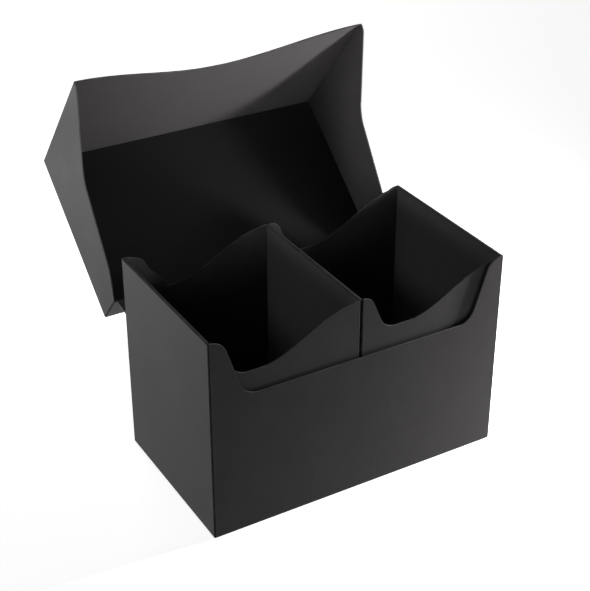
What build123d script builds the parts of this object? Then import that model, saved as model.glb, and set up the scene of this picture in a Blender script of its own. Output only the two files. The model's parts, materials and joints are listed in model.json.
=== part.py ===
"""Double deck box: a folded polypropylene tub with two card trays and a flap lid on a two-crease hinge.

Millimetres, +Z up. The origin is the middle of the underside, the front faces -Y.
Every panel between two folds is a solid of its own. The lid is drawn closed, then opened.
"""
from build123d import *
import math
import os

# Tub
box_width = 146.0
box_depth = 82.4
box_height = 98.2
sheet = 0.6
fold_round = 0.8

# Ears and finger scoop of the tub's front panel
ear_top_width = 6.6
ear_base_width = 16.2
ear_round = 8.0
scoop_depth = 29.5
scoop_round = 9.0

# Ears of the tub's back panel, and its edge below the hinge
back_ear_top_width = 5.3
back_ear_base_width = 30.4
back_ear_round = 9.0

# Folded-over side rims, the divider and the space round the trays
rim_gap = 0.4
divider_gap = 0.6
divider_drop = 1.9
tray_front_gap = 0.9
tray_back_gap = 0.1
rim_round = 0.5

# Thumb scoop of a tray's front and back panels, measured from the tray's left end
thumb_depth = 17.5
thumb_slope = 67.0
thumb_foot_round = 8.0
thumb_low_from_left = 22.5
thumb_low_pull = 17.0
thumb_rise_pull = 20.5

# Ear beside that scoop; the left tray's back panel has a wider one, next to the tub's rim
thumb_ear_width = 4.6
thumb_ear_round = 5.5
rim_ear_width = 8.2
rim_ear_round = 8.0

# Flaps welded inside the tub
bottom_flap_width = 30.0
bottom_flap_bevel = 8.0
weld_flap_width = 14.0
weld_flap_bevel = 5.0
flap_clearance = 0.3

# Lid over the tub
lid_side_clearance = 0.3
lid_front_clearance = 0.3
lid_top_clearance = 0.6
front_flap_depth = 75.1
front_flap_wave = 12.3
front_wave_pull = 27.0

# Free edge of a lid side flap
side_edge_back_run = 10.0
side_edge_back_drop = 8.5
side_edge_knee_from_front = 31.6
side_edge_knee_depth = 40.9
side_edge_toe_from_front = 3.2
side_edge_back_round = 30.0
side_edge_knee_round = 20.0
side_edge_toe_round = 5.0

# Lid sheet behind the tub, and the strip between its two creases
crease_drop = 28.6
strip_length = 9.8
strip_inset = 0.5
weld_gap = 0.15
back_plate_bottom = 3.0
back_plate_inset = 1.0
back_plate_round = 6.0

# A crease is the sheet thinned to a web
crease_web = 0.3
crease_taper = 0.7
crease_gap = 0.1

# How far the lid stands open: the strip from upright, and the lid from the strip
strip_open = 80.0
lid_open = 59.3

# An edge this near a height lies on it
touch = 0.01

# Places that follow from the sizes above
half_width = box_width / 2
half_depth = box_depth / 2
tray_front = -half_depth + sheet + tray_front_gap
tray_back = half_depth - sheet - tray_back_gap
tray_outer = half_width - sheet - rim_gap
tray_inner = divider_gap / 2
tray_floor_height = 2 * sheet
divider_height = box_height - divider_drop
scoop_floor_height = box_height - scoop_depth
crease_height = box_height - crease_drop
lid_half_width = half_width + lid_side_clearance + sheet
lid_front = -half_depth - lid_front_clearance - sheet
lid_back_inside = half_depth + weld_gap
lid_back = lid_back_inside + sheet
lid_top = box_height + lid_top_clearance + sheet
lid_crease_height = crease_height + strip_length
sheet_middle = lid_back_inside + sheet / 2
web_reach = crease_web / 2 + crease_gap

FACES = {
    "front": Vector(0, -1, 0),
    "back": Vector(0, 1, 0),
    "left": Vector(-1, 0, 0),
    "right": Vector(1, 0, 0),
}


def block(x_range, y_range, z_range):
    """A box between two values on each axis."""
    ranges = (x_range, y_range, z_range)
    size = [high - low for low, high in ranges]
    middle = [(high + low) / 2 for low, high in ranges]
    return Pos(*middle) * Box(*size)


def edges_at(shape, axis, height):
    """The edges of a shape that run along an axis at one height."""
    return shape.edges().filter_by(axis).filter_by_position(Axis.Z, height - touch, height + touch)


def folded_box(x_range, y_range, closed_z, open_z):
    """The five panels of a thin box with one open end, cut apart along the middle of their folds.

    A panel is the part of the shell that lies nearer to its own face than to any other.
    """
    z_range = (min(closed_z, open_z), max(closed_z, open_z))
    outer = block(x_range, y_range, z_range)
    folds = [edge for edge in outer.edges() if abs(edge.center().Z - open_z) > sheet]
    outer = fillet(folds, fold_round)
    inwards = math.copysign(sheet, open_z - closed_z)
    inside = block(
        (x_range[0] + sheet, x_range[1] - sheet),
        (y_range[0] + sheet, y_range[1] - sheet),
        (z_range[0] + inwards, z_range[1] + inwards),
    )
    shell = outer - inside
    faces = dict(FACES, end=Vector(0, 0, math.copysign(1, closed_z - open_z)))
    middle = Vector(*[sum(span) / 2 for span in (x_range, y_range, z_range)])
    half = Vector(*[(span[1] - span[0]) / 2 for span in (x_range, y_range, z_range)])

    def reach(normal):
        return Vector(normal.X * half.X, normal.Y * half.Y, normal.Z * half.Z)

    panels = {}
    for name, normal in faces.items():
        panel = shell
        for neighbour in faces.values():
            if neighbour is not normal:
                corner = middle + reach(normal) + reach(neighbour)
                mitre = Plane(origin=corner, z_dir=normal - neighbour)
                panel = split(panel, bisect_by=mitre, keep=Keep.TOP)
        panels[name] = panel
    return panels


def through_y(outline, y_range):
    """A flat outline of x and z points or curves, carried through a panel that faces front or back."""
    face = Plane.XZ * make_face(outline)
    return Pos(0, y_range[1], 0) * extrude(face, y_range[1] - y_range[0])


def through_x(outline, half_length):
    """A flat outline of y and z points or curves, carried along the width."""
    return extrude(Plane.YZ * make_face(outline), half_length, both=True)


def corner_round(radius, run, turn):
    """The rounding of an outline's corner, limited by the straight run that it takes from."""
    return min(radius, run / math.tan(turn / 2) - touch)


def ear_notch(top_width, base_width, top_round, floor_height, floor_round, y_range):
    """The finger scoop between two ears, to be cut from the top of the tub's front or back panel."""
    top = half_width - top_width
    base = half_width - base_width
    above = box_height + ear_round
    slope = math.atan2(box_height - floor_height, base_width - top_width)
    top_round = corner_round(top_round, top_width, slope)
    edge = FilletPolyline(
        (-half_width, box_height), (-top, box_height), (-base, floor_height),
        (base, floor_height), (top, box_height), (half_width, box_height),
        radius=[top_round, floor_round, floor_round, top_round],
    )
    cover = Polyline((half_width, box_height), (half_width, above), (-half_width, above), (-half_width, box_height))
    return through_y(edge + cover, y_range)


def thumb_notch(left, right, left_height, right_height, ear_width, ear_round, y_range):
    """The one-sided thumb scoop, to be cut from the top of a tray's front or back panel."""
    bottom = divider_height - thumb_depth
    above = box_height + thumb_depth
    slope = math.radians(thumb_slope)
    ear = left + ear_width
    foot = ear + (left_height - bottom) / math.tan(slope)
    low = left + thumb_low_from_left
    steep = FilletPolyline(
        (left, left_height), (ear, left_height), (foot, bottom), (low, bottom),
        radius=[corner_round(ear_round, ear_width, slope), corner_round(thumb_foot_round, low - foot, slope)],
    )
    rise = Bezier(
        (low, bottom), (low + thumb_low_pull, bottom),
        (right - thumb_rise_pull, right_height), (right, right_height),
    )
    cover = Polyline((right, right_height), (right, above), (left, above), (left, left_height))
    return through_y(steep + rise + cover, y_range)


def tapered_sheet(far_z, edge_z, half_length):
    """A flat sheet behind the tub, from far_z to an edge that is thinned to a crease's web."""
    taper_z = edge_z + math.copysign(crease_taper, far_z - edge_z)
    outline = Polyline(
        (lid_back_inside, far_z), (lid_back_inside, taper_z), (sheet_middle - crease_web / 2, edge_z),
        (sheet_middle + crease_web / 2, edge_z), (lid_back, taper_z), (lid_back, far_z), close=True,
    )
    return through_x(outline, half_length)


def make_tub():
    """Outer panels, with scooped front and back and side rims that fold over to carry the trays."""
    across = (-half_width, half_width)
    along = (-half_depth, half_depth)
    panels = folded_box(across, along, 0, box_height)
    front_skin = (-half_depth, -half_depth + 2 * sheet)
    back_skin = (half_depth - 2 * sheet, half_depth)
    nodes = {
        "tub_front_panel": panels["front"] - ear_notch(
            ear_top_width, ear_base_width, ear_round, scoop_floor_height, scoop_round, front_skin),
        "tub_back_panel": panels["back"] - ear_notch(
            back_ear_top_width, back_ear_base_width, back_ear_round, crease_height, back_ear_round, back_skin),
        "tub_bottom_panel": panels["end"],
    }
    for side, sign in (("left", -1), ("right", 1)):
        rim_inner = tray_outer - sheet
        cap = block(
            sorted((sign * (half_width - sheet), sign * rim_inner)),
            (tray_front, tray_back), (box_height - sheet, box_height),
        )
        wall = panels[side] + cap
        tops = edges_at(wall, Axis.Y, box_height)
        nodes[f"tub_{side}_panel"] = fillet([edge for edge in tops if edge.length > half_depth], rim_round)
        inside = half_width - sheet
        flap_half_depth = half_depth - sheet - flap_clearance
        flap = Polyline(
            (sign * inside, -flap_half_depth),
            (sign * (inside - bottom_flap_width), -flap_half_depth + bottom_flap_bevel),
            (sign * (inside - bottom_flap_width), flap_half_depth - bottom_flap_bevel),
            (sign * inside, flap_half_depth), close=True,
        )
        nodes[f"{side}_bottom_flap"] = Pos(0, 0, sheet) * extrude(make_face(flap), sheet, dir=(0, 0, 1))
    weld_edge = half_width - sheet - flap_clearance
    weld_low = tray_floor_height + flap_clearance
    weld_high = scoop_floor_height - flap_clearance
    weld = Polyline(
        (weld_edge, weld_low), (weld_edge, weld_high),
        (weld_edge - weld_flap_width, weld_high - weld_flap_bevel),
        (weld_edge - weld_flap_width, weld_low + weld_flap_bevel), close=True,
    )
    nodes["tub_weld_flap"] = through_y(weld, (-half_depth + sheet, -half_depth + 2 * sheet))
    return nodes


def make_trays():
    """Two open trays side by side; their inner walls stand back to back under one folded ridge."""
    nodes = {}
    rim_under = box_height - sheet
    ridge_under = divider_height - sheet
    spans = {"left": (-tray_outer, -tray_inner), "right": (tray_inner, tray_outer)}
    divider_ear = (thumb_ear_width, thumb_ear_round)
    back_scoops = {
        "left": (rim_under, divider_height, rim_ear_width, rim_ear_round),
        "right": (divider_height, rim_under, *divider_ear),
    }
    for tray, (left, right) in spans.items():
        along = (tray_front, tray_back)
        panels = folded_box((left, right), along, tray_floor_height, rim_under)
        front_skin = (tray_front, tray_front + 2 * sheet)
        back_skin = (tray_back - 2 * sheet, tray_back)
        front_notch = thumb_notch(left, right, divider_height, divider_height, *divider_ear, front_skin)
        back_notch = thumb_notch(left, right, *back_scoops[tray], back_skin)
        divider = {"left": "right", "right": "left"}[tray]
        above_ridge = block((left, right), along, (ridge_under, rim_under + sheet))
        nodes[f"{tray}_tray_front_panel"] = panels["front"] - front_notch
        nodes[f"{tray}_tray_back_panel"] = panels["back"] - back_notch
        nodes[f"{tray}_tray_outer_wall"] = panels[tray]
        nodes[f"{tray}_tray_divider_wall"] = panels[divider] - above_ridge
        nodes[f"{tray}_tray_floor"] = panels["end"]
    ridge_half = tray_inner + sheet
    ridge_along = (tray_front + sheet, tray_back - sheet)
    ridge = block((-ridge_half, ridge_half), ridge_along, (ridge_under, divider_height))
    nodes["left_tray_divider_wall"] += fillet(edges_at(ridge, Axis.Y, divider_height), rim_round)
    return nodes


def make_hinge():
    """The lid sheet's plate welded behind the tub, and the strip between its two creases."""
    plate_half = half_width - back_plate_inset
    plate = tapered_sheet(back_plate_bottom, crease_height - web_reach, plate_half)
    plate = fillet(edges_at(plate, Axis.Y, back_plate_bottom), back_plate_round)
    low = crease_height
    high = lid_crease_height
    web = crease_web / 2
    body = make_face(Polyline(
        (sheet_middle - web, low), (lid_back_inside, low + crease_taper), (lid_back_inside, high - crease_taper),
        (sheet_middle - web, high), (sheet_middle + web, high), (lid_back, high - crease_taper),
        (lid_back, low + crease_taper), (sheet_middle + web, low), close=True,
    ))
    ends = [Pos(sheet_middle, z) * Circle(web) for z in (low, high)]
    strip = extrude(Plane.YZ * (body + ends), half_width - strip_inset, both=True)
    return plate, strip


def make_lid():
    """The closed lid: a shallow box with a waved front flap and swept side flaps."""
    lowest = lid_top - front_flap_depth
    across = (-lid_half_width, lid_half_width)
    panels = folded_box(across, (lid_front, lid_back), lid_top, lowest)
    wave_top = lowest + front_flap_wave
    below = lowest - front_flap_wave
    corner = lid_half_width
    wave = Bezier(
        (-corner, lowest), (-corner + front_wave_pull, lowest), (-front_wave_pull, wave_top), (0, wave_top),
    ) + Bezier(
        (0, wave_top), (front_wave_pull, wave_top), (corner - front_wave_pull, lowest), (corner, lowest),
    ) + Polyline((corner, lowest), (corner, below), (-corner, below), (-corner, lowest))
    back_edge = lid_crease_height + web_reach
    knee = (lid_front + side_edge_knee_from_front, lid_top - side_edge_knee_depth)
    sweep = FilletPolyline(
        (lid_back, back_edge), (lid_back - side_edge_back_run, back_edge - side_edge_back_drop), knee,
        (lid_front + side_edge_toe_from_front, lowest), (lid_front, lowest),
        radius=[side_edge_back_round, side_edge_knee_round, side_edge_toe_round],
    ) + Polyline((lid_front, lowest), (lid_front, below), (lid_back, below), (lid_back, back_edge))
    under_sweep = through_x(sweep, lid_half_width)
    front_skin = (lid_front, lid_front + 2 * sheet)
    return {
        "lid_top_panel": panels["end"],
        "lid_front_flap": panels["front"] - through_y(wave, front_skin),
        "lid_left_flap": panels["left"] - under_sweep,
        "lid_right_flap": panels["right"] - under_sweep,
        "lid_back_panel": panels["back"] & tapered_sheet(lid_top, back_edge, lid_half_width),
    }


def main():
    lower_crease = Axis((0, sheet_middle, crease_height), (-1, 0, 0))
    upper_crease = Axis((0, sheet_middle, lid_crease_height), (-1, 0, 0))
    plate, strip = make_hinge()
    nodes = make_tub() | make_trays()
    nodes["lid_back_plate"] = plate
    nodes["hinge_strip"] = strip.rotate(lower_crease, strip_open)
    for name, panel in make_lid().items():
        nodes[name] = panel.rotate(upper_crease, lid_open).rotate(lower_crease, strip_open)
    os.makedirs("parts", exist_ok=True)
    for name, shape in nodes.items():
        shape.label = name
        export_step(shape, f"parts/{name}.step")
    turn = math.radians(strip_open)
    print("lower crease", sheet_middle, crease_height)
    print("upper crease", sheet_middle + strip_length * math.sin(turn), crease_height + strip_length * math.cos(turn))


main()
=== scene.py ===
"""Looks of the double deck box: folded plastic sheets, bent crease webs, weld spots, stage and camera.

Laid out as an add-on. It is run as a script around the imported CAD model, in metres, in the same frame.
"""
import json
import math

import bmesh
import bpy
from mathutils import Matrix, Vector

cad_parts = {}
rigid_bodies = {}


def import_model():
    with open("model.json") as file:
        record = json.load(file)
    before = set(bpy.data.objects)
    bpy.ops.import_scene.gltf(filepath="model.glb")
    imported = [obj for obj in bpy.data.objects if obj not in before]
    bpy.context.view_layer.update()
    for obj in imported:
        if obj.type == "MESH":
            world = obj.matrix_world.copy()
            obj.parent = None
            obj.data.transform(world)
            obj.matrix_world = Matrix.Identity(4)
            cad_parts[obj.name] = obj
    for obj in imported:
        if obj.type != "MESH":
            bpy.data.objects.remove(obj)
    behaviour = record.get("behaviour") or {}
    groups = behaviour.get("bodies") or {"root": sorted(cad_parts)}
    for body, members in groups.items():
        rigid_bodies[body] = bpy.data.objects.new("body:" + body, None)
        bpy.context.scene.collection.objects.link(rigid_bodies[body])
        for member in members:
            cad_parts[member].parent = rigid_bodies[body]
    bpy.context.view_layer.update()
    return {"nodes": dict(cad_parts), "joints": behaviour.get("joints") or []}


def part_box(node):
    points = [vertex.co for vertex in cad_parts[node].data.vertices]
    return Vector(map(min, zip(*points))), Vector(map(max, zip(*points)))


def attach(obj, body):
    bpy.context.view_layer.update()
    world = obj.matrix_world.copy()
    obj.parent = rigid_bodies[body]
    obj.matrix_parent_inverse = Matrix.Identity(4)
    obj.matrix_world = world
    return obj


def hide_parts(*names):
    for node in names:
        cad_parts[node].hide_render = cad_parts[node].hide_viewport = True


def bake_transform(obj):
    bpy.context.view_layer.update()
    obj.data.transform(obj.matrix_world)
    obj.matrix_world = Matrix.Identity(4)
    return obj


bl_info = {
    "name": "Double Deck Box Looks",
    "version": (1, 0, 0),
    "blender": (4, 5, 0),
    "location": "3D View > Sidebar > Deck Box",
    "description": "Dresses the packed double deck box in satin black sheet, and lights it",
    "category": "Object",
}

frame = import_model()
MM = 0.001
AXES = (Vector((1, 0, 0)), Vector((0, 1, 0)), Vector((0, 0, 1)))

# Nodes of each folded sheet
TUB = ("tub_front_panel", "tub_back_panel", "tub_left_panel", "tub_right_panel", "tub_bottom_panel")
TUB_FLAPS = ("left_bottom_flap", "right_bottom_flap", "tub_weld_flap")
TRAY_PANELS = ("front_panel", "back_panel", "outer_wall", "divider_wall", "floor")
LID = ("lid_top_panel", "lid_front_flap", "lid_left_flap", "lid_right_flap", "lid_back_panel")
BACK_PLATE = "lid_back_plate"
STRIP = "hinge_strip"
# Panels whose inner skin gets painted shade: a deeper black that stands in for the shade inside the lid's
# top
PAINTED_SHADE_INSIDE = ("lid_top_panel",)

# How near two places are to count as one, and what the dressing calls flat, sharp, square and slanted
MERGE = 0.002 * MM
FLAT_ANGLE = math.radians(0.5)
SHARP_ANGLE = math.radians(40)
SQUARE_ANGLE = math.radians(60)
SKIN_TILT = 0.99
MITRE_TILT = (0.6, 0.8)

# Clouds of slightly paler and duller plastic: their size, and the part of the noise that they take up
CLOUD_SIZE = 9 * MM
CLOUD_RANGE = (0.3, 0.7)
CLOUD_GAIN = 1.12
CLOUD_DULL = 0.05

# Rubs, which shine a little more than the rest
RUB_SIZE = 22 * MM
RUB_RANGE = (0.52, 0.75)
RUB_SHINE = 0.05

# Hairline scratches: size, share of the noise, paler tone, and each set's turn in radians and long axis
SCRATCH_WIDTH = 0.45 * MM
SCRATCH_LENGTH = 26 * MM
SCRATCH_RANGE = (0.80, 0.86)
SCRATCH_GAIN = 2.2
SCRATCH_STRENGTH = 0.18
SCRATCH_SETS = ((0.6, 0), (-0.9, 1), (0.25, 2))

# Uneven patches along the cut edges and folds, and the painted shade that darkens the folds
PATCH_SIZE = 3.5 * MM
PATCH_RANGE = (0.3, 0.7)
PATCH_LEAST = 0.45
FOLD_SHADE_GAIN = 0.22

# Colour of the black plastic
SHEET_BLACK = (0.0478, 0.0449, 0.0459)

# Colour sockets of a Mix node, by index
MIX_COLOURS = (6, 7)
MIX_RESULT = 2


class SheetLooks(bpy.types.PropertyGroup):
    """Colours and surface of the plastic sheets."""

    tub_colour: bpy.props.FloatVectorProperty(
        name="Tub colour", description="Base colour of the tub's sheet",
        default=SHEET_BLACK, size=3, subtype="COLOR", min=0, max=1)
    tray_colour: bpy.props.FloatVectorProperty(
        name="Tray colour", description="Base colour of the two trays' sheets",
        default=(0.0465, 0.0440, 0.0450), size=3, subtype="COLOR", min=0, max=1)
    lid_colour: bpy.props.FloatVectorProperty(
        name="Lid colour", description="Base colour of the lid's sheet",
        default=SHEET_BLACK, size=3, subtype="COLOR", min=0, max=1)
    # Painted shade: the lid's top is the same sheet as its flaps, and its inside is drawn in a deeper black
    # for its shade
    inside_shade_colour: bpy.props.FloatVectorProperty(
        name="Lid inside colour",
        description="Colour of the inside of the lid's top, deeper than that of the flaps' insides",
        default=(0.0075, 0.0075, 0.0075), size=3, subtype="COLOR", min=0, max=1)
    # Partly the whitening of sheared plastic, partly a painted highlight where light catches the edges
    edge_whitening_and_highlight: bpy.props.FloatVectorProperty(
        name="Cut edge colour", description="Colour of the sheared, slightly whitened edges of a sheet",
        default=(0.092, 0.0905, 0.091), size=3, subtype="COLOR", min=0, max=1)
    roughness: bpy.props.FloatProperty(
        name="Roughness", description="Roughness of the satin surface between marks",
        default=0.33, min=0, max=1, subtype="FACTOR")
    specular: bpy.props.FloatProperty(
        name="Specular", description="Specular level of the satin surface",
        default=0.04, min=0, max=1, subtype="FACTOR")
    grain_size: bpy.props.FloatProperty(
        name="Grain size", description="Width of one pit of the sheet's fine embossed grain",
        default=0.42 * MM, unit="LENGTH")
    grain_depth: bpy.props.FloatProperty(
        name="Grain depth", description="Depth of the fine embossed grain",
        default=0.012 * MM, unit="LENGTH")
    wave_size: bpy.props.FloatProperty(
        name="Wave size", description="Length of the slow waves in a sheet that is not quite flat",
        default=38 * MM, unit="LENGTH")
    wave_depth: bpy.props.FloatProperty(
        name="Wave depth", description="Height of the slow waves in a sheet",
        default=0.16 * MM, unit="LENGTH")


class FoldSizes(bpy.types.PropertyGroup):
    """Cut edges and the pressed lines beside the folds."""

    cut_round: bpy.props.FloatProperty(
        name="Cut edge round", description="Width of the rounding along a sheared edge",
        default=0.09 * MM, unit="LENGTH")
    line_from_fold: bpy.props.FloatProperty(
        name="Line from fold", description="Distance from a fold to the pressed line beside it",
        default=1.25 * MM, unit="LENGTH")
    line_half_width: bpy.props.FloatProperty(
        name="Line half width", description="Half the width of the pressed line",
        default=0.4 * MM, unit="LENGTH")
    line_depth: bpy.props.FloatProperty(
        name="Line depth", description="Depth of the pressed line",
        default=0.05 * MM, unit="LENGTH")


class HingeSizes(bpy.types.PropertyGroup):
    """The thinned webs that bend at the lid's two creases."""

    web_thickness: bpy.props.FloatProperty(
        name="Web thickness", description="Thickness of a crease's web, a little over that of the CAD bead",
        default=0.34 * MM, unit="LENGTH")
    sheet_thickness: bpy.props.FloatProperty(
        name="Sheet thickness", description="Thickness where the web runs out into the sheet",
        default=0.61 * MM, unit="LENGTH")
    web_reach: bpy.props.FloatProperty(
        name="Web reach", description="Distance from the crease line to where the web has run out",
        default=0.95 * MM, unit="LENGTH")
    bend_reach: bpy.props.FloatProperty(
        name="Bend reach", description="Distance from the crease line within which the web bends",
        default=0.3 * MM, unit="LENGTH")


class WeldSizes(bpy.types.PropertyGroup):
    """The ring marks that the welding pins leave on the plate behind the tub."""

    pitch: bpy.props.FloatProperty(
        name="Pitch", description="Distance between two weld spots along their row",
        default=9.0 * MM, unit="LENGTH")
    inset: bpy.props.FloatProperty(
        name="Inset", description="Distance from the plate's edge to the row of weld spots",
        default=5.0 * MM, unit="LENGTH")
    ring_radius: bpy.props.FloatProperty(
        name="Ring radius", description="Radius of the ring of displaced plastic round a spot",
        default=1.1 * MM, unit="LENGTH")
    ring_height: bpy.props.FloatProperty(
        name="Ring height", description="Height of the ring above the plate",
        default=0.12 * MM, unit="LENGTH")


class StageLooks(bpy.types.PropertyGroup):
    """Floor, even light and camera; the lamps stand in the operator."""

    floor_colour: bpy.props.FloatVectorProperty(
        name="Floor colour", description="Colour of the plain floor",
        default=(0.86, 0.86, 0.86), size=3, subtype="COLOR", min=0, max=1)
    floor_half_size: bpy.props.FloatProperty(
        name="Floor half size", description="Half the width of the floor",
        default=4.0, unit="LENGTH")
    floor_glow: bpy.props.FloatProperty(
        name="Floor glow", description="How white the floor looks where no lamp reaches it",
        default=0.8, min=0, max=1)
    ambient: bpy.props.FloatProperty(
        name="Ambient", description="Strength of the soft light from all round",
        default=0.03, min=0)
    camera_place: bpy.props.FloatVectorProperty(
        name="Camera place", description="Where the camera stands",
        default=(-0.27695, -0.45801, 0.39142), size=3, subtype="TRANSLATION")
    camera_azimuth: bpy.props.FloatProperty(
        name="Camera azimuth", description="Direction the camera stands in, from straight in front",
        default=math.radians(-30.32), subtype="ANGLE")
    camera_elevation: bpy.props.FloatProperty(
        name="Camera elevation", description="Height of the camera over the horizon, as an angle",
        default=math.radians(30.306), subtype="ANGLE")
    lens: bpy.props.FloatProperty(
        name="Lens", description="Focal length of the camera over a 36 mm sensor, in millimetres",
        default=84.9, min=1)


def tray_nodes(side):
    """The five panel nodes of the left or the right tray."""
    return tuple(f"{side}_tray_{panel}" for panel in TRAY_PANELS)


# Closed box: where each body stands with both creases at their lower limit

def joint_turn(name, angle):
    """The matrix of one crease turned by an angle from its rest place."""
    joint = next(j for j in frame["joints"] if j["name"] == name)
    place = Matrix.Translation(joint["pos_m"])
    return place @ Matrix.Rotation(angle, 4, Vector(joint["axis"])) @ place.inverted()


def closing(body):
    """The matrix that carries a body from its rest pose to the closed box, where every panel is square."""
    turn = Matrix.Identity(4)
    for joint, carried in (("lower_crease", ("strip", "lid")), ("upper_crease", ("lid",))):
        if body in carried:
            low = next(j for j in frame["joints"] if j["name"] == joint)["range_deg"][0]
            turn = turn @ joint_turn(joint, math.radians(low))
    return turn


# Node groups that more than one finish uses

def new_group(name, inputs, outputs):
    """An empty shader node group with named sockets, and its two end nodes."""
    tree = bpy.data.node_groups.new(name, "ShaderNodeTree")
    for in_out, sockets in (("INPUT", inputs), ("OUTPUT", outputs)):
        for socket, kind in sockets:
            tree.interface.new_socket(socket, in_out=in_out, socket_type=kind)
    return tree, tree.nodes.new("NodeGroupInput"), tree.nodes.new("NodeGroupOutput")


def math_node(tree, operation, first, second):
    """A Math node; each operand is a socket or a number."""
    node = tree.nodes.new("ShaderNodeMath")
    node.operation = operation
    for socket, operand in zip(node.inputs, (first, second)):
        if isinstance(operand, bpy.types.NodeSocket):
            tree.links.new(operand, socket)
        else:
            socket.default_value = operand
    return node.outputs[0]


def noise(tree, vector, scale, detail=2.0, roughness=0.5):
    """A Noise Texture's value; the scale is a socket or a number."""
    node = tree.nodes.new("ShaderNodeTexNoise")
    node.inputs["Detail"].default_value = detail
    node.inputs["Roughness"].default_value = roughness
    tree.links.new(vector, node.inputs["Vector"])
    if isinstance(scale, bpy.types.NodeSocket):
        tree.links.new(scale, node.inputs["Scale"])
    else:
        node.inputs["Scale"].default_value = scale
    return node.outputs["Fac"]


def ramp(tree, value, low, high, to_low=0.0, to_high=1.0):
    """A Map Range node from low..high to another range, clamped."""
    node = tree.nodes.new("ShaderNodeMapRange")
    node.clamp = True
    for socket, number in zip(("From Min", "From Max", "To Min", "To Max"), (low, high, to_low, to_high)):
        node.inputs[socket].default_value = number
    tree.links.new(value, node.inputs["Value"])
    return node.outputs["Result"]


def sheet_grain_group():
    """Fine grain and slow waves of an extruded sheet, as a height in metres, and a mask of its clouds."""
    tree, start, end = new_group(
        "sheet_grain",
        [("Vector", "NodeSocketVector"),
         ("Grain Size", "NodeSocketFloat"), ("Grain Depth", "NodeSocketFloat"),
         ("Wave Size", "NodeSocketFloat"), ("Wave Depth", "NodeSocketFloat")],
        [("Height", "NodeSocketFloat"), ("Clouds", "NodeSocketFloat")])
    place = start.outputs["Vector"]
    pits = noise(tree, place, math_node(tree, "DIVIDE", 1.0, start.outputs["Grain Size"]), detail=3)
    waves = noise(tree, place, math_node(tree, "DIVIDE", 1.0, start.outputs["Wave Size"]), detail=1)
    clouds = noise(tree, place, 1 / CLOUD_SIZE, detail=4, roughness=0.6)
    height = math_node(
        tree, "ADD",
        math_node(tree, "MULTIPLY", pits, start.outputs["Grain Depth"]),
        math_node(tree, "MULTIPLY", waves, start.outputs["Wave Depth"]))
    tree.links.new(height, end.inputs["Height"])
    tree.links.new(ramp(tree, clouds, *CLOUD_RANGE), end.inputs["Clouds"])
    return tree


def handling_marks_group():
    """Masks of faint rubs and hairline scratches."""
    tree, start, end = new_group(
        "handling_marks", [("Vector", "NodeSocketVector")],
        [("Rubs", "NodeSocketFloat"), ("Scratches", "NodeSocketFloat")])
    rubs = ramp(tree, noise(tree, start.outputs["Vector"], 1 / RUB_SIZE, detail=3), *RUB_RANGE)
    scratches = None
    for turn, long_way in SCRATCH_SETS:
        mapping = tree.nodes.new("ShaderNodeMapping")
        mapping.inputs["Rotation"].default_value = (turn, turn / 2, turn)
        stretch = [1 / SCRATCH_WIDTH] * 3
        stretch[long_way] = 1 / SCRATCH_LENGTH
        mapping.inputs["Scale"].default_value = stretch
        tree.links.new(start.outputs["Vector"], mapping.inputs["Vector"])
        lines = ramp(tree, noise(tree, mapping.outputs["Vector"], 1.0, detail=0), *SCRATCH_RANGE)
        scratches = lines if scratches is None else math_node(tree, "MAXIMUM", scratches, lines)
    tree.links.new(rubs, end.inputs["Rubs"])
    tree.links.new(scratches, end.inputs["Scratches"])
    return tree


def edge_masks_group():
    """Masks of the sheared edges, paler with whitening and a painted highlight, and of the folds, darkened
    with painted shade, both unevenly.
    """
    tree, start, end = new_group(
        "edge_masks", [("Vector", "NodeSocketVector")],
        [("Cut", "NodeSocketFloat"), ("Fold", "NodeSocketFloat")])
    patches = noise(tree, start.outputs["Vector"], 1 / PATCH_SIZE, detail=3)
    uneven = ramp(tree, patches, *PATCH_RANGE, to_low=PATCH_LEAST)
    for name in ("Cut", "Fold"):
        attribute = tree.nodes.new("ShaderNodeAttribute")
        attribute.attribute_name = f"{name.lower()}_edge"
        tree.links.new(math_node(tree, "MULTIPLY", attribute.outputs["Fac"], uneven), end.inputs[name])
    return tree


def place_group(tree, builder, vector, **values):
    """Places a shared node group in a material, building it on first use."""
    node = tree.nodes.new("ShaderNodeGroup")
    name = builder.__name__.removesuffix("_group")
    node.node_tree = bpy.data.node_groups.get(name) or builder()
    tree.links.new(vector, node.inputs["Vector"])
    for socket, number in values.items():
        node.inputs[socket.replace("_", " ").title()].default_value = number
    return node


def mix_colour(tree, factor, first, second):
    """A colour Mix node; each colour is a socket or a tuple."""
    node = tree.nodes.new("ShaderNodeMix")
    node.data_type = "RGBA"
    tree.links.new(factor, node.inputs["Factor"])
    for index, colour in zip(MIX_COLOURS, (first, second)):
        if isinstance(colour, bpy.types.NodeSocket):
            tree.links.new(colour, node.inputs[index])
        else:
            node.inputs[index].default_value = (*colour, 1)
    return node.outputs[MIX_RESULT]


def scaled(colour, gain):
    """A colour with every channel multiplied."""
    return tuple(channel * gain for channel in colour)


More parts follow.
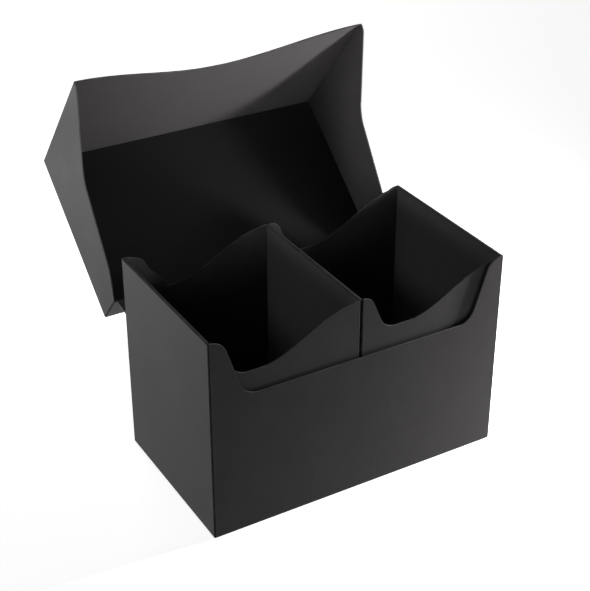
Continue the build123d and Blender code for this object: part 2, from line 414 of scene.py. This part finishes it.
def sheet_finish(slot, colour):
    """Satin black sheet: grain, slow waves, clouds, rubs, scratches, cut edges paler with whitening and a
    painted highlight, painted shade in the folds and inside the lid's top.
    """
    name = f"satin_{slot}"
    made = bpy.data.materials.get(name)
    if made:
        return made
    looks = bpy.context.scene.deck_box_sheet
    made = bpy.data.materials.new(name)
    made.use_nodes = True
    tree = made.node_tree
    shader = tree.nodes["Principled BSDF"]
    place = tree.nodes.new("ShaderNodeTexCoord").outputs["Object"]
    grain = place_group(
        tree, sheet_grain_group, place, grain_size=looks.grain_size, grain_depth=looks.grain_depth,
        wave_size=looks.wave_size, wave_depth=looks.wave_depth)
    marks = place_group(tree, handling_marks_group, place)
    edges = place_group(tree, edge_masks_group, place)

    tone = mix_colour(tree, grain.outputs["Clouds"], colour, scaled(colour, CLOUD_GAIN))
    scratches = math_node(tree, "MULTIPLY", marks.outputs["Scratches"], SCRATCH_STRENGTH)
    tone = mix_colour(tree, scratches, tone, scaled(colour, SCRATCH_GAIN))
    # Painted shade: the folds are darkened for the shade in the creases
    tone = mix_colour(tree, edges.outputs["Fold"], tone, scaled(colour, FOLD_SHADE_GAIN))
    # Cut edges: paler for the whitening of sheared plastic and for a painted highlight
    tone = mix_colour(tree, edges.outputs["Cut"], tone, looks.edge_whitening_and_highlight)
    # Painted shade: the inside of the lid's top is mixed to a deeper black
    inside = tree.nodes.new("ShaderNodeAttribute")
    inside.attribute_name = "painted_inside_shade"
    tone = mix_colour(tree, inside.outputs["Fac"], tone, looks.inside_shade_colour)
    tree.links.new(tone, shader.inputs["Base Color"])

    shine = math_node(tree, "MULTIPLY", marks.outputs["Rubs"], -RUB_SHINE)
    dull = math_node(tree, "MULTIPLY", grain.outputs["Clouds"], CLOUD_DULL)
    roughness = math_node(tree, "ADD", math_node(tree, "ADD", shine, dull), looks.roughness)
    tree.links.new(roughness, shader.inputs["Roughness"])
    shader.inputs["Specular IOR Level"].default_value = looks.specular

    bump = tree.nodes.new("ShaderNodeBump")
    bump.inputs["Strength"].default_value = 1.0
    bump.inputs["Distance"].default_value = 1.0
    tree.links.new(grain.outputs["Height"], bump.inputs["Height"])
    tree.links.new(bump.outputs["Normal"], shader.inputs["Normal"])
    return made


# Dressing of the CAD panels

def group_middle(nodes, body):
    """The middle of the closed sheet that some nodes are folded from."""
    turn = closing(body)
    points = [turn @ vertex.co for node in nodes for vertex in frame["nodes"][node].data.vertices]
    low = Vector(map(min, *points))
    high = Vector(map(max, *points))
    return (low + high) / 2


def thin_axis(mesh):
    """The axis that a panel's skins face, as an index."""
    areas = [sum(abs(face.normal[i]) * face.calc_area() for face in mesh.faces) for i in range(3)]
    return areas.index(max(areas))


def is_mitre(face, thin, outward):
    """True for the slanted face where a panel was cut from its neighbour along a fold."""
    tilt = face.normal[thin] * outward
    return MITRE_TILT[0] < -tilt < MITRE_TILT[1]


def press_fold_lines(mesh, thin, outward, sizes):
    """Presses a shallow line into the outer skin beside each fold of a panel."""
    folds = set()
    for face in mesh.faces:
        if is_mitre(face, thin, outward):
            along = max((i for i in range(3) if i != thin), key=lambda i: abs(face.normal[i]))
            folds.add((along, math.copysign(1, face.normal[along])))
    skin = max(outward * vertex.co[thin] for vertex in mesh.verts)
    for along, side in sorted(folds):
        reach = max(side * vertex.co[along] for vertex in mesh.verts)
        line = reach - sizes.line_from_fold
        for place in (line - sizes.line_half_width, line, line + sizes.line_half_width):
            bmesh.ops.bisect_plane(
                mesh, geom=mesh.verts[:] + mesh.edges[:] + mesh.faces[:], dist=MERGE / 10,
                plane_co=AXES[along] * side * place, plane_no=AXES[along])
        for vertex in mesh.verts:
            on_line = abs(side * vertex.co[along] - line) < MERGE
            if on_line and abs(outward * vertex.co[thin] - skin) < MERGE:
                vertex.co[thin] -= outward * sizes.line_depth


def is_sheared(face, thin, levels):
    """True for a square face that runs from a panel's outer skin to its inner one, as a cut edge does."""
    places = [vertex.co[thin] for vertex in face.verts]
    reaches = all(min(abs(place - level) for place in places) < MERGE for level in levels)
    return reaches and abs(face.normal[thin]) < 1 - SKIN_TILT


def round_cut_edges(mesh, thin, outward, sizes):
    """Rounds every square edge, and marks the sheared faces and the folds for the finish."""
    cut = mesh.faces.layers.float.new("cut_edge")
    fold = mesh.faces.layers.float.new("fold_edge")
    levels = []
    for side in (outward, -outward):
        skin = [face for face in mesh.faces if face.normal[thin] * side > SKIN_TILT]
        widest = max(skin, key=lambda face: face.calc_area())
        levels.append(widest.verts[0].co[thin])
    for face in mesh.faces:
        tilt = abs(face.normal[thin])
        if is_sheared(face, thin, levels):
            face[cut] = 1.0
        elif 1 - SKIN_TILT < tilt < SKIN_TILT and not is_mitre(face, thin, outward):
            face[fold] = 1.0
    square = [
        edge for edge in mesh.edges
        if len(edge.link_faces) == 2 and edge.calc_face_angle_signed() > SQUARE_ANGLE
        and not any(is_mitre(face, thin, outward) for face in edge.link_faces)
    ]
    bmesh.ops.bevel(
        mesh, geom=square, offset=sizes.cut_round, offset_type="OFFSET", segments=2, profile=0.5,
        affect="EDGES", clamp_overlap=True)


def darken_inside(mesh, thin, outward):
    """Marks a panel's inner skin for painted shade, a deeper black."""
    dark = mesh.faces.layers.float.new("painted_inside_shade")
    for face in mesh.faces:
        if face.normal[thin] * outward < -SKIN_TILT:
            face[dark] = 1.0


def dress_panel(node, body, middle, slot, colour):
    """Puts a dressed sheet in place of a CAD panel: rounded cut edges, pressed lines, satin finish."""
    sizes = bpy.context.scene.deck_box_folds
    turn = closing(body)
    mesh = bmesh.new()
    mesh.from_mesh(frame["nodes"][node].data)
    mesh.transform(turn)
    bmesh.ops.remove_doubles(mesh, verts=mesh.verts[:], dist=MERGE)
    bmesh.ops.dissolve_limit(mesh, angle_limit=FLAT_ANGLE, verts=mesh.verts[:], edges=mesh.edges[:])
    thin = thin_axis(mesh)
    centre = sum((vertex.co[thin] for vertex in mesh.verts)) / len(mesh.verts)
    outward = math.copysign(1, centre - middle[thin])
    press_fold_lines(mesh, thin, outward, sizes)
    round_cut_edges(mesh, thin, outward, sizes)
    # Painted shade on the inner skin of the lid's top
    if node in PAINTED_SHADE_INSIDE:
        darken_inside(mesh, thin, outward)
    mesh.transform(turn.inverted())
    return finish_piece(mesh, f"{node}_sheet", body, slot, colour, node)


def finish_piece(mesh, name, body, slot, colour, *nodes):
    """Turns a built mesh into a piece with its finish, on its body and in place of CAD nodes."""
    data = bpy.data.meshes.new(name)
    mesh.to_mesh(data)
    mesh.free()
    if "custom_normal" in data.attributes:
        data.attributes.remove(data.attributes["custom_normal"])
    data.materials.clear()
    data.materials.append(sheet_finish(slot, colour))
    data.shade_smooth()
    data.set_sharp_from_angle(angle=SHARP_ANGLE)
    piece = bpy.data.objects.new(name, data)
    bpy.context.scene.collection.objects.link(piece)
    normals = piece.modifiers.new("flat_skins", "WEIGHTED_NORMAL")
    normals.keep_sharp = True
    if body:
        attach(piece, body)
    if nodes:
        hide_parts(*nodes)
    return piece


class DressTub(bpy.types.Operator):
    """Dresses the tub's panels and its hidden flaps."""

    bl_idname = "deck_box.dress_tub"
    bl_label = "Dress Tub"

    def execute(self, context):
        colour = tuple(context.scene.deck_box_sheet.tub_colour)
        middle = group_middle(TUB, "box")
        for node in TUB + TUB_FLAPS:
            dress_panel(node, "box", middle, "tub_sheet", colour)
        return {"FINISHED"}


class DressTrays(bpy.types.Operator):
    """Dresses the panels of both trays."""

    bl_idname = "deck_box.dress_trays"
    bl_label = "Dress Trays"

    def execute(self, context):
        colour = tuple(context.scene.deck_box_sheet.tray_colour)
        for side in ("left", "right"):
            middle = group_middle(tray_nodes(side), "box")
            for node in tray_nodes(side):
                dress_panel(node, "box", middle, "tray_sheet", colour)
        return {"FINISHED"}


class DressLid(bpy.types.Operator):
    """Dresses the lid's panels, the strip between its creases and the plate welded behind the tub."""

    bl_idname = "deck_box.dress_lid"
    bl_label = "Dress Lid"

    def execute(self, context):
        colour = tuple(context.scene.deck_box_sheet.lid_colour)
        middle = group_middle(LID, "lid")
        bodies = {BACK_PLATE: "box", STRIP: "strip"}
        for node in (*LID, BACK_PLATE, STRIP):
            dress_panel(node, bodies.get(node, "lid"), middle, "lid_sheet", colour)
        return {"FINISHED"}


class BendCreases(bpy.types.Operator):
    """Bends a thin web round each of the lid's two creases, so that the sheet runs on across them."""

    bl_idname = "deck_box.bend_creases"
    bl_label = "Bend Creases"

    arc_steps = 8

    def profile(self, start, end, sizes):
        """Closed outline of a web that leaves the crease line along start and along end."""
        turn = (-start).angle(end)
        radius = sizes.bend_reach / math.tan(turn / 2)
        inner = (start + end).normalized()
        centre = inner * radius / math.cos(turn / 2)
        line = [(start * sizes.web_reach, sizes.sheet_thickness)]
        from_centre = start * sizes.bend_reach - centre
        spin = from_centre.cross(end * sizes.bend_reach - centre).normalized()
        for step in range(self.arc_steps + 1):
            swing = Matrix.Rotation(turn * step / self.arc_steps, 3, spin)
            line.append((centre + swing @ from_centre, sizes.web_thickness))
        line.append((end * sizes.web_reach, sizes.sheet_thickness))
        sides = ([], [])
        for index, (point, thickness) in enumerate(line):
            before = line[max(index - 1, 0)][0]
            after = line[min(index + 1, len(line) - 1)][0]
            across = (after - before).cross(spin).normalized() * thickness / 2
            sides[0].append(point + across)
            sides[1].append(point - across)
        return sides[0] + sides[1][::-1]

    def execute(self, context):
        sizes = context.scene.deck_box_hinge
        colour = tuple(context.scene.deck_box_sheet.lid_colour)
        low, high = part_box(BACK_PLATE)
        for joint in frame["joints"]:
            down = closing(joint["parent"]).inverted().to_3x3() @ -AXES[2]
            up = closing(joint["child"]).inverted().to_3x3() @ AXES[2]
            crease = Vector(joint["pos_m"])
            outline = self.profile(down, up, sizes)
            mesh = bmesh.new()
            ends = [
                mesh.faces.new([mesh.verts.new(crease + AXES[0] * x + point) for point in outline])
                for x in (low.x, high.x)
            ]
            bmesh.ops.bridge_loops(mesh, edges=[edge for end in ends for edge in end.edges])
            bmesh.ops.recalc_face_normals(mesh, faces=mesh.faces[:])
            piece = finish_piece(mesh, f"{joint['name']}_web", None, "lid_sheet", colour)
            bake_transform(piece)
        return {"FINISHED"}


class WeldSpots(bpy.types.Operator):
    """Sets a row of weld spots along three sides of the plate behind the tub, with Geometry Nodes."""

    bl_idname = "deck_box.weld_spots"
    bl_label = "Weld Spots"

    ring_sides = 14
    bead_sides = 6

    def tree(self, finish):
        """Rings along a path: the path is resampled, and a ring stands on each of its points."""
        tree = bpy.data.node_groups.new("weld_spots", "GeometryNodeTree")
        tree.interface.new_socket("Path", in_out="INPUT", socket_type="NodeSocketGeometry")
        for name in ("Pitch", "Ring Radius", "Ring Height"):
            tree.interface.new_socket(name, in_out="INPUT", socket_type="NodeSocketFloat")
        tree.interface.new_socket("Spots", in_out="OUTPUT", socket_type="NodeSocketGeometry")
        add = tree.nodes.new
        start, end = add("NodeGroupInput"), add("NodeGroupOutput")
        to_curve, resample = add("GeometryNodeMeshToCurve"), add("GeometryNodeResampleCurve")
        ring, bead = add("GeometryNodeCurvePrimitiveCircle"), add("GeometryNodeCurvePrimitiveCircle")
        sweep, spread = add("GeometryNodeCurveToMesh"), add("GeometryNodeInstanceOnPoints")
        realize, paint = add("GeometryNodeRealizeInstances"), add("GeometryNodeSetMaterial")
        resample.mode = "LENGTH"
        ring.inputs["Resolution"].default_value = self.ring_sides
        bead.inputs["Resolution"].default_value = self.bead_sides
        spread.inputs["Rotation"].default_value = (math.pi / 2, 0, 0)
        paint.inputs["Material"].default_value = finish
        for source, name, target, socket in (
            (start, "Path", to_curve, "Mesh"), (to_curve, "Curve", resample, "Curve"),
            (start, "Pitch", resample, "Length"), (start, "Ring Radius", ring, "Radius"),
            (start, "Ring Height", bead, "Radius"), (ring, "Curve", sweep, "Curve"),
            (bead, "Curve", sweep, "Profile Curve"), (resample, "Curve", spread, "Points"),
            (sweep, "Mesh", spread, "Instance"), (spread, "Instances", realize, "Geometry"),
            (realize, "Geometry", paint, "Geometry"), (paint, "Geometry", end, "Spots"),
        ):
            tree.links.new(source.outputs[name], target.inputs[socket])
        return tree

    def execute(self, context):
        sizes = context.scene.deck_box_welds
        colour = tuple(context.scene.deck_box_sheet.lid_colour)
        finish = sheet_finish("lid_sheet", colour)
        low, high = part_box(BACK_PLATE)
        left, right = low.x + sizes.inset, high.x - sizes.inset
        bottom, top = low.z + sizes.inset, high.z - sizes.inset
        path = bpy.data.meshes.new("weld_path")
        corners = ((left, top), (left, bottom), (right, bottom), (right, top))
        path.from_pydata([(x, high.y, z) for x, z in corners], [(0, 1), (1, 2), (2, 3)], [])
        source = bpy.data.objects.new("weld_path", path)
        context.scene.collection.objects.link(source)
        rows = source.modifiers.new("weld_spots", "NODES")
        rows.node_group = self.tree(finish)
        values = {"Pitch": sizes.pitch, "Ring Radius": sizes.ring_radius, "Ring Height": sizes.ring_height}
        for item in rows.node_group.interface.items_tree:
            if item.in_out == "INPUT" and item.name in values:
                rows[item.identifier] = values[item.name]
        context.view_layer.update()
        made = bpy.data.meshes.new_from_object(source.evaluated_get(context.evaluated_depsgraph_get()))
        bpy.data.objects.remove(source)
        made.name = "weld_spots"
        made.shade_smooth()
        piece = bpy.data.objects.new("weld_spots", made)
        context.scene.collection.objects.link(piece)
        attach(piece, "box")
        return {"FINISHED"}


# Stage

def seen_directly(tree):
    """A socket that is 1 for camera, glossy and transmission rays."""
    path = tree.nodes.new("ShaderNodeLightPath")
    first = math_node(tree, "MAXIMUM", path.outputs["Is Camera Ray"], path.outputs["Is Glossy Ray"])
    return math_node(tree, "MAXIMUM", first, path.outputs["Is Transmission Ray"])


class SetStage(bpy.types.Operator):
    """Makes the plain floor, the soft lamps, the world and the camera."""

    bl_idname = "deck_box.set_stage"
    bl_label = "Set Stage"

    # Only a lamp wider than this, in metres, is mirrored in the sheet, so that a small one leaves no glare
    widest_unmirrored = 0.12
    # Lamp: place, point it faces, width and height in metres, beam angle in degrees, power in watts
    lamps = {
        "key_right": ((0.20, -0.06, 0.11), (0, 0.05, 0.10), 0.02, 0.09, 180, 1.28),
        "side_left": ((-0.45, 0.04, 0.60), (-0.05, 0.06, 0.10), 0.30, 0.30, 180, 0.40),
        "rear_left": ((-0.20, 0.386, 0.12), (-0.08, 0.10, 0.12), 0.15, 0.15, 180, 0.41),
        "walls_left": ((-0.45, 0.02, 0.40), (0.03, 0.02, 0.08), 0.10, 0.10, 30, 0.022),
        "lid_left": ((-0.60, -0.04, 0.15), (0.06, 0.09, 0.14), 0.20, 0.08, 25, 0.047),
        "lid_front": ((-0.10, -0.524, 0.30), (0.01, 0.10, 0.15), 0.11, 0.06, 14, 0.043),
        "behind": ((0.15, 0.95, 0.40), (0, 0.10, 0.08), 0.40, 0.40, 180, 1.6),
    }

    def lamp(self, name, place, target, width, height, beam, power):
        """An area lamp that the camera doesn't see, and that the sheet mirrors only if it is wide."""
        data = bpy.data.lights.new(name, "AREA")
        data.shape = "RECTANGLE"
        data.size = width
        data.size_y = height
        data.energy = power
        data.spread = math.radians(beam)
        lamp = bpy.data.objects.new(name, data)
        lamp.location = place
        lamp.rotation_euler = (Vector(target) - Vector(place)).to_track_quat("-Z", "Y").to_euler()
        lamp.visible_camera = False
        lamp.visible_glossy = min(width, height) > self.widest_unmirrored
        bpy.context.scene.collection.objects.link(lamp)

    def floor(self, looks):
        """A wide pale floor that shows white where lamps light it, and a faint shadow elsewhere."""
        half = looks.floor_half_size
        data = bpy.data.meshes.new("floor")
        corners = [(-half, -half, 0), (half, -half, 0), (half, half, 0), (-half, half, 0)]
        data.from_pydata(corners, [], [(0, 1, 2, 3)])
        finish = bpy.data.materials.new("pale_floor")
        finish.use_nodes = True
        tree = finish.node_tree
        shader = tree.nodes["Principled BSDF"]
        shader.inputs["Base Color"].default_value = (*looks.floor_colour, 1)
        shader.inputs["Roughness"].default_value = 1.0
        shader.inputs["Specular IOR Level"].default_value = 0.0
        shader.inputs["Emission Color"].default_value = (1, 1, 1, 1)
        glow = math_node(tree, "MULTIPLY", seen_directly(tree), looks.floor_glow)
        tree.links.new(glow, shader.inputs["Emission Strength"])
        data.materials.append(finish)
        floor = bpy.data.objects.new("floor", data)
        bpy.context.scene.collection.objects.link(floor)

    def world(self, looks):
        """White where it is seen, and a weak even light otherwise."""
        world = bpy.data.worlds.new("studio")
        world.use_nodes = True
        tree = world.node_tree
        strength = math_node(
            tree, "ADD", looks.ambient, math_node(tree, "MULTIPLY", seen_directly(tree), 1 - looks.ambient))
        background = tree.nodes["Background"]
        background.inputs["Color"].default_value = (1, 1, 1, 1)
        tree.links.new(strength, background.inputs["Strength"])
        bpy.context.scene.world = world

    def camera(self, looks):
        """The photograph's viewpoint."""
        data = bpy.data.cameras.new("camera")
        data.lens = looks.lens
        data.clip_start = 0.01
        camera = bpy.data.objects.new("camera", data)
        across, up = looks.camera_azimuth, looks.camera_elevation
        back = Vector((math.sin(across) * math.cos(up), -math.cos(across) * math.cos(up), math.sin(up)))
        camera.location = looks.camera_place
        camera.rotation_euler = (-back).to_track_quat("-Z", "Y").to_euler()
        bpy.context.scene.collection.objects.link(camera)
        bpy.context.scene.camera = camera

    def execute(self, context):
        looks = context.scene.deck_box_stage
        context.scene.view_settings.view_transform = "Standard"
        self.floor(looks)
        self.world(looks)
        for name, values in self.lamps.items():
            self.lamp(name, *values)
        self.camera(looks)
        return {"FINISHED"}


class DeckBoxPanel(bpy.types.Panel):
    """Lists the operators and the values they read."""

    bl_idname = "VIEW3D_PT_deck_box"
    bl_label = "Deck Box"
    bl_space_type = "VIEW_3D"
    bl_region_type = "UI"
    bl_category = "Deck Box"

    def draw(self, context):
        for operator in OPERATORS:
            self.layout.operator(operator.bl_idname)
        for name in PROPERTIES:
            group = getattr(context.scene, name)
            for value in group.bl_rna.properties:
                if value.identifier not in {"rna_type", "name"}:
                    self.layout.prop(group, value.identifier)


PROPERTIES = {
    "deck_box_sheet": SheetLooks,
    "deck_box_folds": FoldSizes,
    "deck_box_hinge": HingeSizes,
    "deck_box_welds": WeldSizes,
    "deck_box_stage": StageLooks,
}
OPERATORS = (DressTub, DressTrays, DressLid, BendCreases, WeldSpots, SetStage)


def register():
    for group in (*PROPERTIES.values(), *OPERATORS, DeckBoxPanel):
        bpy.utils.register_class(group)
    for name, group in PROPERTIES.items():
        setattr(bpy.types.Scene, name, bpy.props.PointerProperty(type=group))


def unregister():
    for name in PROPERTIES:
        delattr(bpy.types.Scene, name)
    for group in (DeckBoxPanel, *OPERATORS, *PROPERTIES.values()):
        bpy.utils.unregister_class(group)


def main():
    register()
    bpy.ops.deck_box.dress_tub()
    bpy.ops.deck_box.dress_trays()
    bpy.ops.deck_box.dress_lid()
    bpy.ops.deck_box.bend_creases()
    bpy.ops.deck_box.weld_spots()
    bpy.ops.deck_box.set_stage()


if __name__ == "__main__":
    main()
